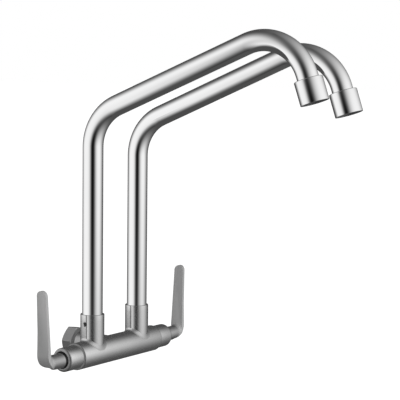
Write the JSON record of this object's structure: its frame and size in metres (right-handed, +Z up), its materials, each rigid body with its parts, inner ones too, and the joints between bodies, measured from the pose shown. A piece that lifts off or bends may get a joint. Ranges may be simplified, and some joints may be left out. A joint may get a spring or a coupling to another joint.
{
  "type": "wall-mounted twin-spout sink tap",
  "caption": "Wall-mounted steel sink tap: horizontal body on one inlet, tall swivelling spouts with rising arms, and a quarter-turn lever valve at each end.",
  "frame": {"origin": "centre of the inlet's mouth, at the back face of the hexagon, on the plane where the wall's pipe enters", "axes": "+Z up, -Y towards the user, +X to the right as the user sees the tap; the valve body's axis runs along X 56 mm in front of the origin"},
  "size_m": [0.2254, 0.298, 0.3292],
  "materials": {
    "satin_steel": "satin, fine brushing",
    "grey_steel": "dull grey machined steel",
    "polished_steel": "mirror polished",
    "plain_steel": "plain machined",
    "brass": "machined",
    "rubber": "matt",
    "ceramic": "lapped alumina",
    "white_plastic": "moulded acetal"
  },
  "bodies": {
    "body_group": {"body": "satin_steel", "inlet_connector": "grey_steel", "inlet_washer": "rubber", "inlet_strainer": "plain_steel", "left_collar": "satin_steel", "right_collar": "satin_steel", "left_cartridge_housing": "brass", "right_cartridge_housing": "brass", "left_cartridge_ring": "rubber", "right_cartridge_ring": "rubber", "left_seat_seal": "rubber", "right_seat_seal": "rubber", "left_fixed_disc": "ceramic", "right_fixed_disc": "ceramic", "left_glide_ring": "white_plastic", "right_glide_ring": "white_plastic", "left_spout_screw": "plain_steel", "right_spout_screw": "plain_steel"},
    "left_valve": {"left_turning_disc": "ceramic", "left_spindle": "brass", "left_spindle_ring": "rubber", "left_spindle_clip": "plain_steel", "left_lever": "satin_steel", "left_lever_screw": "plain_steel"},
    "right_valve": {"right_turning_disc": "ceramic", "right_spindle": "brass", "right_spindle_ring": "rubber", "right_spindle_clip": "plain_steel", "right_lever": "satin_steel", "right_lever_screw": "plain_steel"},
    "left_spout": {"left_spout_tube": "polished_steel", "left_spout_tail": "brass", "left_tail_rings": "rubber", "left_outlet_cup": "polished_steel", "left_aerator_washer": "rubber", "left_aerator_screen": "plain_steel", "left_aerator_core": "white_plastic", "left_aerator_ring": "polished_steel"},
    "right_spout": {"right_spout_tube": "polished_steel", "right_spout_tail": "brass", "right_tail_rings": "rubber", "right_outlet_cup": "polished_steel", "right_aerator_washer": "rubber", "right_aerator_screen": "plain_steel", "right_aerator_core": "white_plastic", "right_aerator_ring": "polished_steel"}
  },
  "joints": [
    {"name": "left_swivel", "type": "hinge", "parent": "body_group", "child": "left_spout", "pos_m": [-0.03575, -0.056, 0.0384], "axis": [0, 0, 1], "range_deg": [-97, 2]},
    {"name": "right_swivel", "type": "hinge", "parent": "body_group", "child": "right_spout", "pos_m": [0.03575, -0.056, 0.0384], "axis": [0, 0, 1], "range_deg": [-4, 86]},
    {"name": "left_valve_turn", "type": "hinge", "parent": "body_group", "child": "left_valve", "pos_m": [-0.0716, -0.056, 0], "axis": [1, 0, 0], "range_deg": [0, 90]},
    {"name": "right_valve_turn", "type": "hinge", "parent": "body_group", "child": "right_valve", "pos_m": [0.0716, -0.056, 0], "axis": [1, 0, 0], "range_deg": [0, 90]}
  ]
}
